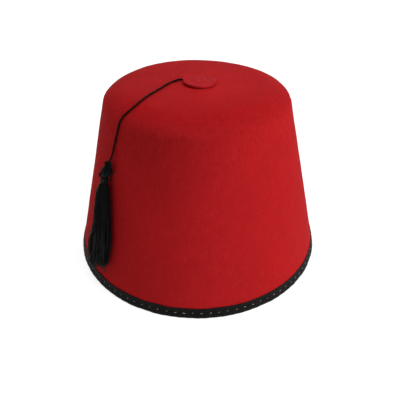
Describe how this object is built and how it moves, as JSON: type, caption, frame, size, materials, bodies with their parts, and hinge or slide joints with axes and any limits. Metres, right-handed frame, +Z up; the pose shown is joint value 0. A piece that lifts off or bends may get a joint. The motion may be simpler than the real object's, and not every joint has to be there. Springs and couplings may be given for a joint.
{
  "type": "fez hat",
  "caption": "Fez hat: tapered felt crown with a flat top, open underneath, a bound rim, a round felt button and a tassel on a thin cord.",
  "frame": {"origin": "middle of the rim, on the surface that the hat rests on", "axes": "+Z up along the crown's axis, -Y towards the viewer of the picture, tassel between -X and -Y"},
  "size_m": [0.1922, 0.1922, 0.1318],
  "materials": {
    "crown_felt": "matt blocked felt",
    "button_felt": "matt pressed felt",
    "binding_tape": "woven tape",
    "cord": "twisted thread",
    "tassel_thread": "loose thread with a slight sheen",
    "tassel_winding": "wound thread with a slight sheen"
  },
  "bodies": {
    "root": {"crown": "crown_felt", "rim_binding": "binding_tape", "top_button": "button_felt", "tassel_cord": "cord", "tassel_head": "tassel_thread", "tassel_wrap": "tassel_winding", "tassel_skirt": "tassel_thread"}
  },
  "joints": []
}
